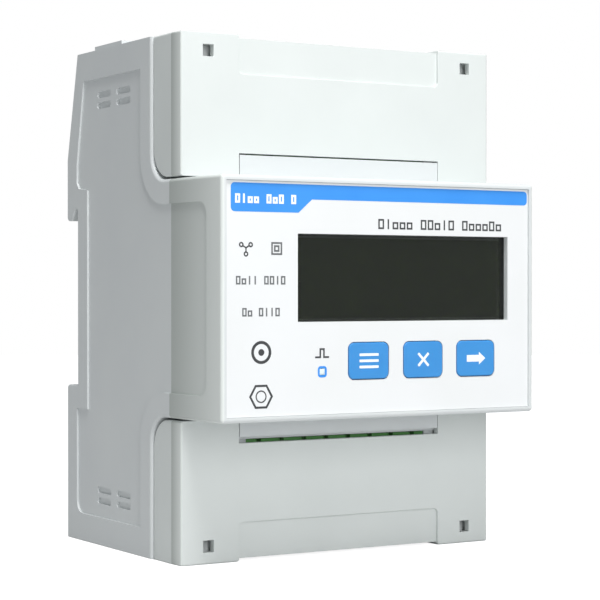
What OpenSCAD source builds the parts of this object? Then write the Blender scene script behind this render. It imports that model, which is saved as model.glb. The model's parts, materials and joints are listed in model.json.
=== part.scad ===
// Four-module smart electric meter for a 35 mm top-hat rail.
// Frame: X to the right of the face, Y from the face to the wall, Z up.
// The origin is at the centre of the footprint, on the surface that the meter stands on.

/* [Case] */
// Width of the case: four 18 mm modules
case_w = 72; // [64:0.5:90]
// Height of the case, top wall to bottom wall
case_h = 100; // [90:0.5:120]
// Depth of the whole meter, face to rear plane
case_d = 65.5; // [60:0.5:80]
// Thickness of the case walls
wall = 2; // [1.5:0.1:2.4]
// Height of the head that stands through the cabinet's front plate
head_h = 45; // [44:0.5:48]
// How much each side of the head narrows towards the face
head_draft = 0.8; // [0.2:0.1:1.5]
// Depth from the rear plane to the seam between case and terminal covers
seam_d = 38.9; // [37:0.1:40]
// Depth from the rear plane to where the side walls start to draft inwards
draft_d = 46.5; // [45:0.1:48]
// Radius of the rounded corner between the seam and the head
shoulder_r = 5; // [3:0.5:6]
// Width of the raised rim round the printed face
rim_w = 1; // [0.8:0.05:1.5]
// Thickness of the wall behind the printed face
face_t = 1.8; // [1.5:0.1:2.4]
// Height of the low pad on the top wall
pad_h = 0.8; // [0.4:0.1:1.5]
// Depth of the sunk panel in each side wall
relief_t = 0.4; // [0.2:0.1:0.5]
// Distance from the side's outline to its sunk panel
relief_inset = 4.7; // [4:0.1:6]

/* [Rail] */
// Height of the rail that the meter clips on
rail_h = 35; // [34.5:0.1:35.5]
// Height of the rail's centre above the middle of the case
rail_rise = 0.4; // [0:0.1:1]
// Depth of the rail channel in the rear
rail_d = 5.1; // [4.6:0.1:6]
// Height of the hook that holds the rail's upper flange
hook_h = 2.3; // [1.5:0.1:3]
// Thickness of the rail's flange, with its clearance
flange_gap = 1.3; // [1.1:0.1:1.6]
// How far the clip travels to let the rail go
clip_travel = 5; // [3:0.5:6]
// Width of the rail clip
clip_w = 20; // [16:0.5:24]
// Thickness of the rail clip
clip_t = 3; // [2.6:0.1:3.2]

/* [Face] */
// Width of the display opening
window_w = 48.2; // [40:0.1:50]
// Height of the display opening
window_h = 16.3; // [12:0.1:18]
// Distance from the display opening to the head's right side
window_margin = 6.05; // [5:0.05:8]
// Centre of the display opening, above the middle of the head
window_z = 3.85; // [3:0.05:4.5]
// Depth of the display window below the printed face
window_sink = 1; // [0.5:0.1:1.2]
// Width of a key
key_w = 8.95; // [7:0.05:9.5]
// Height of a key
key_h = 6.85; // [5:0.05:7.2]
// Corner radius of a key
key_r = 1.2; // [0.5:0.1:2]
// Space between two keys
key_space = 3.47; // [2.6:0.01:4]
// Centre of the middle key, right of the display opening's centre
key_shift = 3.87; // [0:0.01:4]
// Space between the display opening and the keys
key_below = 3.98; // [3:0.01:5]
// Travel of a key
key_travel = 0.5; // [0.3:0.05:0.6]

/* [Terminals] */
// Depth from the rear plane to the front of the terminal covers
cover_d = 50.1; // [48:0.1:52]
// Thickness of a terminal cover's walls
cover_t = 1.5; // [1.2:0.1:1.8]
// How far a terminal cover's sides stand in from the case's sides
cover_inset = 0.4; // [0.2:0.05:0.6]
// Width of the cover on each side of its notch
notch_side = 13; // [11:0.5:15]
// Height of the notch in a cover
notch_h = 5; // [4.4:0.1:6]
// Side of the square latch opening in a cover
latch_hole = 2.3; // [1.8:0.1:2.6]
// Distance of the latch openings from the case's side
latch_side = 6.4; // [5.5:0.1:8]
// Distance of the latch openings from the top or bottom wall
latch_inset = 3.4; // [3.2:0.1:4]
// Terminals in the lower row
lower_poles = 8; // [6:1:8]
// Distance between terminals in the lower row
lower_pitch = 5.08; // [5:0.01:5.08]
// Terminals in the upper row
upper_poles = 4; // [3:1:4]
// Distance between terminals in the upper row
upper_pitch = 10.16; // [7.5:0.01:10.16]
// Height of a terminal block
block_h = 14.1; // [13:0.1:14.5]

/* [Boards] */
// Thickness of the circuit boards
board_t = 1.6; // [1:0.2:2]
// Gap between a board's edge and the case
board_gap = 0.5; // [0.3:0.1:1]

/* [Hidden] */
$fn = 48;

eps = 0.01;
cut = 1;                      // how far a cutter runs past the face it opens
fit = 0.1;                    // gap between pieces that are fixed together
slip = 0.15;                  // gap round pieces that move

// Case
half_w = case_w / 2;
face_y = -case_d / 2;
rear_y = case_d / 2;
function from_rear(depth) = rear_y - depth;
seam_y = from_rear(seam_d);
draft_y = from_rear(draft_d);
cover_y = from_rear(cover_d);
mid_z = case_h / 2;
head_z0 = mid_z - head_h / 2;
head_z1 = mid_z + head_h / 2;
head_half = half_w - head_draft;
bay_y = seam_y + wall;        // front of the wall behind a terminal bay
bay_back_y = bay_y + wall;
rear_lean = 5;                // how far the rear face leans in at the top
lean_z = case_h - 21.5;       // where the rear face starts to lean
overlay_t = 0.3;
overlay_sink = 0.4;           // printed face below its rim
overlay_gap = 0.05;           // between the printed face and its rim
overlay_y = face_y + overlay_sink;
overlay_w = 2 * (head_half - rim_w);
overlay_h = head_h - 2 * rim_w;
seat_y = overlay_y + overlay_t;
face_back_y = face_y + face_t;
pad_y0 = from_rear(25.4);
pad_y1 = from_rear(13);
pad_w = case_w - 0.6;
vent = [6.3, 1.3, 0.5];       // slots in the side: length, height and depth below the sunk panel
vent_ys = [from_rear(26), from_rear(17.1)];
vent_zs = [9.05, 11.2];

// Face
window_x = head_half - window_margin - window_w / 2;
window_cz = mid_z + window_z;
key_pitch = key_w + key_space;
key_cz = window_cz - window_h / 2 - key_below - key_h / 2;
led_pipe = 1.15;              // side of the square end of the light pipe
function key_x(i) = window_x + key_shift + (i - 1) * key_pitch;
led_x = key_x(0) - 10.26;     // pulse light, left of the first key and a little lower
led_z = key_cz - 1.85;

// Rail channel
rail_z = mid_z + rail_rise;
rail_floor_y = from_rear(rail_d);
rail_top = rail_z + rail_h / 2;
hook_z = rail_top + 0.3;      // top of the hook's slot, clear of the rail's edge
channel_z1 = hook_z - hook_h;
channel_z0 = rail_top - rail_h - 1;
hook_lead = 1.4;              // how far the slot opens at its mouth
lip_r = 0.8;                  // round corners on both sides of the channel
clip_y0 = rail_floor_y + flange_gap - 0.15;
clip_y1 = clip_y0 + clip_t;
clip_z0 = 1;
clip_z1 = channel_z0 + 2.7;
clip_nose = 1.6;              // height of the slope on the clip's nose
guide_slip = 0.12;
guide_wall = 2;
clip_lip = 2;                 // how far the rear lips reach over the clip
spring_r = 1.1;               // radius of the spring's centre line
spring_wire = 0.4;
spring_turns = 7;
spring_window_w = 3.4;
spring_window_z0 = 8;
spring_window_z1 = 22;
peg_h = 2;
spring_z0 = spring_window_z0 + peg_h + 0.3;

// Screws: [shank radius, head radius, head height]
board_screw = [1, 1.9, 1.4];
rear_screw = [1.25, 2.2, 1.8];
rear_post_r = 2.7;
rear_post_x = half_w - wall - rear_post_r - 1.1;
rear_post_zs = [8, case_h - 10];
rear_post_y = from_rear(8.75); // where a post meets the rear cover
rear_well_r = 3.6;
rear_seat = 2;                // plastic under a rear screw's head

// Boards
main_board_y0 = bay_back_y + 2.5;
main_board_y1 = main_board_y0 + board_t;
main_board_z0 = wall + 2;
main_board_z1 = case_h - wall - 2;
main_board_w = 2 * (rear_post_x - rear_post_r - board_gap);
display_board_y0 = face_back_y + 5.75;
display_board_y1 = display_board_y0 + board_t;
display_board_w = 2 * (head_half - wall - board_gap) - 2.4;
display_board_h = head_h - 2 * wall - 2 * board_gap;
boss_r = 1.9;
boss_rim = 0.3;               // from a boss to the nearest piece beside it
main_boss_x = main_board_w / 2 - boss_r - 0.8;
main_boss_zs = [main_board_z0 + 2.6, main_board_z1 - 2.6];
display_boss_x = display_board_w / 2 - boss_r;
row_z = mid_z - 20;           // row of sense transformers and capacitors
tall_pitch = 11.5;            // between the two capacitors

// Display
lcd_w = window_w + 3.8;
lcd_h = window_h + 3.1;
lcd_y0 = face_back_y + 1.2;
lcd_y1 = lcd_y0 + 2.2;
holder_t = 1.1;
display_boss_zs = [mid_z - display_board_h / 2 + boss_r - boss_rim,
    window_cz + lcd_h / 2 + holder_t + boss_r + boss_rim];

// Keys
key_proud = 0.15;
key_flange = 1;               // how far a key's flange reaches past the cap
key_flange_t = 0.8;
key_flange_y = face_back_y + fit;
switch_w = 6;
switch_h = 3;
switch_floor = 1;             // bottom of the switch below its plunger
plunger_r = 1.5;
plunger_y = display_board_y0 - switch_h - 0.8;

// Link between the boards
link_cols = 5;
link_pitch = 2.54;
link_pin = 0.64;
socket_l = 8.5;

// Power transformer: [width, height, depth]
core = [17, 16, 14];
core_x = -14;
core_leg = 3.2;

// Terminal blocks, drawn for the lower bay
notch_w = case_w - 2 * notch_side;
latch_x = half_w - latch_side;
cover_front = half_w - cover_inset - 0.25;
block_front_y = cover_y + cover_t + 0.3;
block_z1 = head_z0 - notch_h + 0.55;
block_z0 = block_z1 - block_h;
block_end = 0.18;             // how far a block reaches past its outer poles
skirt_lower = notch_h - 1.2;  // the case's skirts in the notches of the covers
skirt_upper = notch_h - 2 * slip;
skirt_t = 1.2;
rib_w = 1.2;                  // ribs that carry the skirts
lip_h = 0.5;                  // height of the lip under the lower skirt
lip_sink = 1.2;               // how far the lip stands back from the skirt
panel_h = 7.5;                // height and depth of the sunk panel at a cover's outer edge
panel_sink = 0.6;
post_w = 4;
post_h = 3;
post_gap = 1.2;               // from a cover's front wall to the post behind it
head_gap = 0.4;               // between a cover and the head
cover_r = shoulder_r + 0.6;     // outer corner of a cover, beside the head
screw_z = block_z0 + 7;
cheek_z0 = screw_z;           // lower end of the cheeks beside a terminal block
clamp = [3.9, 5.8, 6];        // width, depth and height of a clamp
clamp_y0 = block_front_y + 2.4;
clamp_y1 = clamp_y0 + clamp[1];
clamp_wall = 0.6;
clamp_roof = 1.3;             // thickness of the clamp's threaded side
tail_y0 = clamp_y0 + clamp_roof + 2.6;
tail_t = 0.7;
tail_z = screw_z + clamp[2] / 2 + 1.6;
outlet_w = notch_w - 4;       // width of a cover's wire outlet

// ---------- Shapes that repeat ----------

function arc(cx, cy, r, a0, a1, n = 10) =
    [for (i = [0 : n]) [cx + r * cos(a0 + (a1 - a0) * i / n), cy + r * sin(a0 + (a1 - a0) * i / n)]];

// A plate on the face side: its outline in X and Z, reaching from y0 to y1
module slab(w, h, y0, y1, x = 0, z = 0) {
    translate([x - w / 2, y0, z - h / 2]) cube([w, y1 - y0, h]);
}

// The same with round corners
module round_slab(w, h, r, y0, y1, x = 0, z = 0) {
    translate([x, y1, z]) rotate([90, 0, 0]) linear_extrude(y1 - y0) union() {
        square([w - 2 * r, h], center = true);
        square([w, h - 2 * r], center = true);
        for (sx = [-1, 1], sz = [-1, 1])
            translate([sx * (w / 2 - r), sz * (h / 2 - r)]) circle(r);
    }
}

// A cylinder along Y
module rod(r, y0, y1, x = 0, z = 0, fn = 48) {
    translate([x, y1, z]) rotate([90, 0, 0]) cylinder(r = r, h = y1 - y0, $fn = fn);
}

// An outline in Y and Z, drawn across the width w
module across(w, points) {
    translate([-w / 2, 0, 0]) rotate([90, 0, 90]) linear_extrude(w) polygon(points);
}

// An outline in X and Y, drawn up the whole height
module upright(points, z0 = -cut, z1 = case_h + 2 * cut) {
    translate([0, 0, z0]) linear_extrude(z1 - z0) polygon(points);
}

// The lower half turned over to make the upper one
module to_upper() {
    translate([0, 0, case_h]) mirror([0, 0, 1]) children();
}

// A cross-head screw along Y: the head's underside is at y, and the shank runs towards the face
module screw(size, length, y, x, z) {
    head_r = size[1];
    head_h = size[2];
    difference() {
        union() {
            rod(head_r, y, y + head_h, x, z);
            rod(size[0], y - length, y + eps, x, z);
        }
        for (slot = [[1.3, 0.24], [0.24, 1.3]])
            slab(slot[0] * head_r, slot[1] * head_r, y + head_h / 2, y + head_h + cut, x, z);
    }
}

// ---------- Case ----------

// Outline of the whole plan, with the drafted head
function plan_outline(t = 0) = [
    [-half_w + t, rear_y + cut], [-half_w + t, draft_y], [-head_half + t, face_y - eps],
    [head_half - t, face_y - eps], [half_w - t, draft_y], [half_w - t, rear_y + cut]];

// Rear edge of the side, from its foot to its top
function rear_outline() = concat(
    [[rear_y, 0]],
    arc(rear_y - lip_r, channel_z0 - lip_r, lip_r, 0, 90, 4),
    [[rail_floor_y, channel_z0], [rail_floor_y, hook_z], [rail_floor_y + flange_gap, hook_z],
     [rail_floor_y + flange_gap + hook_lead, channel_z1]],
    arc(rear_y - lip_r, channel_z1 + lip_r, lip_r, -90, 0, 4),
    [[rear_y, lean_z], [rear_y - rear_lean, case_h]]);

function side_outline() = concat(rear_outline(),
    [[seam_y, case_h]],
    arc(seam_y - shoulder_r, head_z1 + shoulder_r, shoulder_r, 0, -90),
    [[face_y, head_z1], [face_y, head_z0]],
    arc(seam_y - shoulder_r, head_z0 - shoulder_r, shoulder_r, 90, 0),
    [[seam_y, 0]]);

// The sunk panel follows the side's outline at one inset
function relief_outline(i = relief_inset) = let(
        r = 2.5,
        front = face_y + i + 0.7,
        back = rear_y - i,
        step = rail_floor_y - i,
        low = i + 1,
        high = case_h - i - 1,
        lean = rear_lean * (high - lean_z) / (case_h - lean_z)) concat(
    arc(back - r, low + r, r, -90, 0, 5),
    [[back, channel_z0 - i], [step, channel_z0 - i], [step, hook_z + i - 1],
     [back - 1, hook_z + i - 0.5], [back, hook_z + i + 0.7], [back, lean_z - 1]],
    [[back - lean + 0.4, high]],
    [[seam_y + i, high]],
    arc(seam_y - shoulder_r, head_z1 + shoulder_r, shoulder_r + i, 0, -90),
    arc(front + r, head_z1 - i - r, r, 90, 180, 5),
    arc(front + r, head_z0 + i + r, r, 180, 270, 5),
    arc(seam_y - shoulder_r, head_z0 - shoulder_r, shoulder_r + i, 90, 0),
    [[seam_y + i, low]]);

module side_relief() {
    difference() {
        across(case_w + 2 * cut, relief_outline());
        upright(plan_outline(relief_t));
    }
    for (side = [-1, 1], y = vent_ys, z = vent_zs, top = [0, 1])
        translate([side * half_w, y, top * case_h + (1 - 2 * top) * z]) vent_slot();
}

// A shallow slot with round ends, along Y, sunk from the side's outer plane
module vent_slot() {
    depth = 2 * (relief_t + vent[2]);
    straight = vent[0] - vent[1];
    translate([-depth / 2, -straight / 2, -vent[1] / 2]) cube([depth, straight, vent[1]]);
    for (end = [-1, 1]) translate([-depth / 2, end * straight / 2, 0]) rotate([0, 90, 0])
        cylinder(d = vent[1], h = depth);
}

module case_cavity() {
    intersection() {
        upright(plan_outline(wall));
        union() {
            slab(case_w, case_h - 2 * wall, bay_back_y, rear_y + cut, z = mid_z);
            slab(case_w, head_h - 2 * wall, face_back_y, bay_back_y + eps, z = mid_z);
        }
    }
}

// What is cut for one bay and its terminal block, drawn for the lower one
module bay_cut(poles, pitch) {
    slab(case_w - 2 * wall, head_z0 - wall, face_y - cut, bay_y, z = (head_z0 + wall) / 2);
    slab(block_width(poles, pitch) + 2 * fit, block_h + 2 * fit, bay_y - eps, bay_back_y + eps,
        z = (block_z0 + block_z1) / 2);
}

// The skirt that shows in the cover's notch, the cheeks at the ends of the terminal block,
// and the posts that the cover latches to
module bay_front(skirt_h) {
    skirt_z = head_z0 - skirt_h / 2;
    hidden_y = cover_y + cover_t + slip;
    cheek_x0 = block_width(lower_poles, lower_pitch) / 2 + slip;
    cheek_w = notch_w / 2 - slip - cheek_x0;
    slab(notch_w - 2 * slip, skirt_h + eps, cover_y, cover_y + skirt_t, z = skirt_z);
    for (side = [-1, 1]) {
        cheek_x = side * (cheek_x0 + cheek_w / 2);
        slab(rib_w, skirt_h + eps, cover_y + skirt_t - eps, bay_y + eps, cheek_x, skirt_z);
        slab(cheek_w, head_z0 - cheek_z0 + eps, hidden_y, bay_y + eps, cheek_x, (head_z0 + cheek_z0) / 2);
        slab(post_w, post_h, cover_y + cover_t + post_gap, bay_y + eps, side * latch_x, latch_inset + 0.1);
    }
}

// The dark lip between the lower skirt and its terminal block
module skirt_lip() {
    slab(notch_w - 2 * slip, skirt_lower + lip_h, cover_y + lip_sink, cover_y + lip_sink + skirt_t,
        z = head_z0 - (skirt_lower + lip_h) / 2);
}

// The openings for the display, the keys and the pulse light
module face_windows(y0, y1) {
    slab(window_w, window_h, y0, y1, window_x, window_cz);
    for (i = [0 : 2])
        round_slab(key_w + 2 * slip, key_h + 2 * slip, key_r + slip, y0, y1, key_x(i), key_cz);
    slab(led_pipe + 2 * fit, led_pipe + 2 * fit, y0, y1, led_x, led_z);
}

module case_bosses() {
    for (sx = [-1, 1]) {
        for (z = rear_post_zs)
            rod(rear_post_r, bay_back_y - eps, rear_post_y, sx * rear_post_x, z);
        for (z = main_boss_zs)
            rod(boss_r, bay_back_y - eps, main_board_y0, sx * main_boss_x, z);
        for (z = display_boss_zs)
            rod(boss_r, face_back_y - eps, display_board_y0, sx * display_boss_x, z);
    }
}

module boss_holes() {
    for (sx = [-1, 1]) {
        for (z = rear_post_zs)
            rod(rear_screw[0] + eps, rear_post_y - 12, rear_post_y + cut, sx * rear_post_x, z);
        for (z = main_boss_zs)
            rod(board_screw[0] + eps, bay_back_y - 0.5, main_board_y0 + cut, sx * main_boss_x, z);
        for (z = display_boss_zs)
            rod(board_screw[0] + eps, face_back_y + 0.9, display_board_y0 + cut, sx * display_boss_x, z);
    }
}

module main_case() {
    color("gainsboro") difference() {
        union() {
            difference() {
                intersection() {
                    across(case_w, side_outline());
                    upright(plan_outline());
                }
                case_cavity();
                bay_cut(lower_poles, lower_pitch);
                to_upper() bay_cut(upper_poles, upper_pitch);
            }
            bay_front(skirt_lower);
            skirt_lip();
            to_upper() bay_front(skirt_upper);
            case_bosses();
            translate([-pad_w / 2, pad_y0, case_h - eps]) cube([pad_w, pad_y1 - pad_y0, pad_h + eps]);
        }
        side_relief();
        slab(overlay_w, overlay_h, face_y - cut, seat_y, z = mid_z);
        face_windows(face_y - cut, face_back_y + cut);
        boss_holes();
        slab(clip_w + 0.6, 2 * wall + 2, clip_y0 - 0.3, rear_y + cut, z = 0);
    }
}

module rear_cover() {
    inner_w = case_w - 2 * wall - 2 * fit;
    inner_h = case_h - 2 * wall - 2 * fit;
    t = wall;
    y_open = rear_post_y - 3 * cut;
    color("gainsboro") difference() {
        intersection() {
            across(inner_w, concat(rear_outline(), [[rear_post_y - cut, case_h], [rear_post_y - cut, 0]]));
            slab(inner_w, inner_h, y_open, rear_y + cut, z = mid_z);
            union() {
                difference() {
                    slab(inner_w, case_h, rear_post_y - cut, rear_y + cut, z = mid_z);
                    across(case_w, [
                        [rear_y - t, -cut], [rear_y - t, channel_z0 - t],
                        [rail_floor_y - t, channel_z0 - t], [rail_floor_y - t, hook_z + t],
                        [rear_y - t, hook_z + t], [rear_y - t, lean_z],
                        [rear_y - t - rear_lean, case_h + eps], [y_open, case_h + eps],
                        [y_open, -cut]]);
                }
                slab(clip_w + 2 * guide_wall + 1, channel_z0, clip_y0 - guide_wall, rear_y,
                    z = channel_z0 / 2);
                for (sx = [-1, 1], z = rear_post_zs)
                    rod(rear_well_r, rear_post_y, rear_y + cut, sx * rear_post_x, z);
            }
        }
        clip_guide();
        for (sx = [-1, 1], z = rear_post_zs) {
            rod(rear_screw[0] + fit, rear_post_y - cut, rear_y, sx * rear_post_x, z);
            rod(rear_screw[1] + 0.2, rear_post_y + rear_seat, rear_y + cut, sx * rear_post_x, z);
        }
    }
    color("gainsboro")
        slab(spring_window_w - 1, peg_h, clip_y0 - guide_slip - eps, clip_y1 - 0.4,
            z = spring_z0 - peg_h / 2);
}

module clip_guide() {
    slab(clip_w + 2 * guide_slip, channel_z0 + 4, clip_y0 - guide_slip, clip_y1 + guide_slip,
        z = channel_z0 / 2);
    slab(clip_w - 2 * clip_lip, channel_z0 + 4, clip_y1, rear_y + cut, z = channel_z0 / 2);
}

module rear_cover_screws() {
    color("silver") for (sx = [-1, 1], z = rear_post_zs)
        screw(rear_screw, 10, rear_post_y + rear_seat, sx * rear_post_x, z);
}

// ---------- Rail clip ----------

module rail_clip() {
    color("dimgray") difference() {
        across(clip_w, [
            [clip_y0, clip_z0], [clip_y1, clip_z0], [clip_y1, clip_z1 - clip_nose],
            [clip_y0 + 0.8, clip_z1], [clip_y0, clip_z1]]);
        slab(spring_window_w, spring_window_z1 - spring_window_z0, clip_y0 - cut, clip_y1 + cut,
            z = (spring_window_z0 + spring_window_z1) / 2);
        round_slab(7, 1.8, 0.85, clip_y0 - cut, clip_y1 + cut, z = clip_z0 + 2.2);
        for (i = [0 : 2])
            slab(12, 0.6, clip_y1 - 0.5, clip_y1 + cut, z = clip_z1 - 5 - 1.4 * i);
    }
}

module rail_clip_spring() {
    length = spring_window_z1 - spring_z0 - spring_wire;
    steps = 12;
    sides = 6;
    rings = spring_turns * steps;
    points = [for (i = [0 : rings], k = [0 : sides - 1])
        let(a = 360 * i / steps, b = 360 * k / sides,
            r = spring_r + spring_wire / 2 * cos(b),
            z = length * i / rings + spring_wire / 2 * sin(b))
        [r * cos(a), r * sin(a), z]];
    walls = [for (i = [0 : rings - 1], k = [0 : sides - 1])
        [i * sides + k, i * sides + (k + 1) % sides,
         (i + 1) * sides + (k + 1) % sides, (i + 1) * sides + k]];
    ends = [[for (k = [sides - 1 : -1 : 0]) k], [for (k = [0 : sides - 1]) rings * sides + k]];
    color("silver") translate([0, (clip_y0 + clip_y1) / 2, spring_z0 + spring_wire / 2])
        polyhedron(points, [for (f = concat(walls, ends)) [for (j = [len(f) - 1 : -1 : 0]) f[j]]]);
}

// ---------- Terminal covers, drawn for the lower bay ----------

module terminal_cover() {
    y_back = seam_y - slip;
    side = half_w - cover_inset;
    color("whitesmoke") difference() {
        union() {
            difference() {
                intersection() {
                    across(case_w, concat(
                        [[cover_y, 0], [y_back, 0]],
                        arc(y_back - cover_r, head_z0 - head_gap - cover_r, cover_r, 0, 90),
                        [[cover_y, head_z0 - head_gap]]));
                    upright([
                        [-side, rear_y], [-side, draft_y], [-cover_front, cover_y],
                        [cover_front, cover_y], [side, draft_y], [side, rear_y]]);
                }
                slab(2 * (cover_front - cover_t), head_z0 + cut - cover_t, cover_y + cover_t, seam_y + cut,
                    z = (head_z0 + cut + cover_t) / 2);
            }
            for (hand = [-1, 1], rib = [-1, 1])
                slab(0.8, 5, cover_y + cover_t - eps, cover_y + cover_t + 5,
                    hand * latch_x + rib * (post_w / 2 + 0.7), cover_t + 2.4);
        }
        slab(notch_w, notch_h + cut, cover_y - cut, cover_y + cover_t + cut,
            z = head_z0 - notch_h / 2 + cut / 2);
        round_slab(notch_w, 2 * panel_h, 1, cover_y - cut, cover_y + panel_sink);
        slab(notch_w, 2 * panel_sink, cover_y - cut, seam_y + cut);
        slab(outlet_w, 4 * cover_t, cover_y + cover_t, seam_y + cut);
        for (hand = [-1, 1])
            slab(latch_hole, latch_hole, cover_y - cut, cover_y + cover_t + cut,
                hand * latch_x, latch_inset);
    }
}

module terminal_cover_lower() { terminal_cover(); }
module terminal_cover_upper() { to_upper() terminal_cover(); }

// ---------- Face ----------

module face_overlay() {
    color("white") difference() {
        slab(overlay_w - 2 * overlay_gap, overlay_h - 2 * overlay_gap, overlay_y, seat_y, z = mid_z);
        face_windows(overlay_y - cut, seat_y + cut);
    }
}

module display_window() {
    y0 = overlay_y + window_sink;
    color("lightgray", 0.4) union() {
        slab(window_w - 2 * fit, window_h - 2 * fit, y0, face_back_y + 0.9, window_x, window_cz);
        slab(window_w + 3, window_h + 3, face_back_y, face_back_y + 0.9, window_x, window_cz);
    }
}

module lcd_glass() {
    color("darkslategray") slab(lcd_w, lcd_h, lcd_y0, lcd_y1, window_x, window_cz);
}

module backlight_diffuser() {
    color("white") slab(lcd_w - 5, lcd_h - 4, lcd_y1, display_board_y0, window_x, window_cz);
}

module contact_strips() {
    color("dimgray") for (side = [-1, 1])
        slab(lcd_w - 6, 1.4, lcd_y1, display_board_y0, window_x, window_cz + side * (lcd_h / 2 - 0.9));
}

module lcd_holder() {
    color("white") difference() {
        slab(lcd_w + 2 * holder_t, lcd_h + 2 * holder_t, lcd_y0, display_board_y0, window_x, window_cz);
        slab(lcd_w + fit, lcd_h + fit, lcd_y0 - cut, display_board_y0 + cut, window_x, window_cz);
    }
}

module display_board() {
    color("seagreen") difference() {
        slab(display_board_w, display_board_h, display_board_y0, display_board_y1, z = mid_z);
        for (sx = [-1, 1], z = display_boss_zs)
            rod(board_screw[0] + fit, display_board_y0 - cut, display_board_y1 + cut,
                sx * display_boss_x, z);
    }
}

module display_board_screws() {
    color("silver") for (sx = [-1, 1], z = display_boss_zs)
        screw(board_screw, board_t + 3.5, display_board_y1, sx * display_boss_x, z);
}

module processor_chip() {
    color("black") slab(12, 12, display_board_y1, display_board_y1 + 1.5, -18, mid_z + 6);
}

module clock_crystal() {
    color("silver") round_slab(11, 4.4, 2.1, display_board_y1, display_board_y1 + 3.4, -18, mid_z - 6);
}

module key(i) {
    color("dodgerblue") union() {
        round_slab(key_w, key_h, key_r, overlay_y - key_proud, key_flange_y + eps, key_x(i), key_cz);
        slab(key_w + 2 * key_flange, key_h + 2 * key_flange, key_flange_y, key_flange_y + key_flange_t,
            key_x(i), key_cz);
        rod(plunger_r, key_flange_y + key_flange_t - eps, plunger_y, key_x(i), key_cz);
    }
}

module switch_body(i) {
    y0 = display_board_y0 - switch_h;
    color("black") difference() {
        slab(switch_w, switch_w, y0, display_board_y0, key_x(i), key_cz);
        rod(plunger_r + fit, y0 - cut, display_board_y0 - switch_floor, key_x(i), key_cz);
    }
}

module plunger(i) {
    color("tan") rod(plunger_r, plunger_y, display_board_y0 - switch_floor - key_travel - 0.2,
        key_x(i), key_cz);
}

module key_set() { key(0); }
module key_back() { key(1); }
module key_next() { key(2); }
module switch_set() { switch_body(0); }
module switch_back() { switch_body(1); }
module switch_next() { switch_body(2); }
module plunger_set() { plunger(0); }
module plunger_back() { plunger(1); }
module plunger_next() { plunger(2); }

module pulse_led() {
    color("mistyrose") slab(1.6, 1.2, display_board_y0 - 0.9, display_board_y0, led_x, led_z);
}

module pulse_light_pipe() {
    color("lightcyan", 0.6) union() {
        slab(led_pipe, led_pipe, overlay_y, face_back_y + eps, led_x, led_z);
        slab(2.6, 2.6, face_back_y, display_board_y0 - 1.1, led_x, led_z);
    }
}

// ---------- Link between the boards ----------

module link_grid() {
    for (i = [0 : link_cols - 1], side = [-1, 1])
        translate([(i - (link_cols - 1) / 2) * link_pitch, 0, mid_z + side * link_pitch / 2]) children();
}

module link_header() {
    color("black") difference() {
        slab(link_cols * link_pitch, 2 * link_pitch, main_board_y0 - 2.5, main_board_y0, z = mid_z);
        link_grid() slab(link_pin, link_pin, main_board_y0 - 3, main_board_y0 + cut);
    }
}

module link_pins() {
    color("gold") link_grid() slab(link_pin, link_pin, display_board_y1 + 3, main_board_y1 + 1);
}

module link_socket() {
    color("black") difference() {
        slab(link_cols * link_pitch, 2 * link_pitch, display_board_y1, display_board_y1 + socket_l,
            z = mid_z);
        link_grid() slab(link_pin + 0.1, link_pin + 0.1, display_board_y1 + 1.5,
            display_board_y1 + socket_l + cut);
    }
}

// ---------- Main board ----------

module main_board() {
    color("seagreen") difference() {
        slab(main_board_w, main_board_z1 - main_board_z0, main_board_y0, main_board_y1, z = mid_z);
        for (sx = [-1, 1], z = main_boss_zs)
            rod(board_screw[0] + fit, main_board_y0 - cut, main_board_y1 + cut, sx * main_boss_x, z);
        link_grid() slab(link_pin + 0.1, link_pin + 0.1, main_board_y0 - cut, main_board_y1 + cut);
        tail_holes(lower_poles, lower_pitch);
        to_upper() tail_holes(upper_poles, upper_pitch);
    }
}

module main_board_screws() {
    color("silver") for (sx = [-1, 1], z = main_boss_zs)
        screw(board_screw, board_t + 2.2, main_board_y1, sx * main_boss_x, z);
}

module metering_chip() {
    color("black") slab(11, 11, main_board_y0 - 1.5, main_board_y0, -17, mid_z - 8);
}

module bus_chip() {
    color("black") slab(10.4, 7.5, main_board_y1, main_board_y1 + 2.6, 14, mid_z + 2);
}

module transformer_core() {
    y0 = main_board_y1 + 2;
    color("dimgray") difference() {
        slab(core[0], core[1], y0, y0 + core[2] / 2, core_x, mid_z);
        for (side = [-1, 1])
            slab((core[0] - 3 * core_leg) / 2, core[1] - 2 * core_leg, y0 - cut, y0 + core[2], core_x
                + side * (core_leg / 2 + (core[0] - 3 * core_leg) / 4), mid_z);
    }
}

module transformer_coil() {
    y0 = main_board_y1;
    w = core[0] - 2 * core_leg - 2 * fit;
    h = core[1] - 2 * core_leg - 2 * fit;
    color("goldenrod") difference() {
        slab(w, h, y0, y0 + core[2], core_x, mid_z);
        slab(core_leg + 2 * fit, h + cut, y0 + 2 - fit, y0 + 2 + core[2] / 2 + fit, core_x, mid_z);
    }
}

module filter_capacitors() {
    color("navy") for (z = [row_z - 1, row_z - 1 + tall_pitch]) union() {
        rod(5, main_board_y1, main_board_y1 + 15.2, 20.5, z);
        rod(4.7, main_board_y1 + 15.2 - eps, main_board_y1 + 16, 20.5, z);
    }
}

module sense_transformer(i) {
    x = -20 + 13 * i;
    color("midnightblue") difference() {
        round_slab(12, 14, 2, main_board_y1, main_board_y1 + 9, x, row_z);
        rod(2, main_board_y1 - cut, main_board_y1 + 9 + cut, x, row_z);
    }
}

module sense_transformer_1() { sense_transformer(0); }
module sense_transformer_2() { sense_transformer(1); }
module sense_transformer_3() { sense_transformer(2); }

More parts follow.
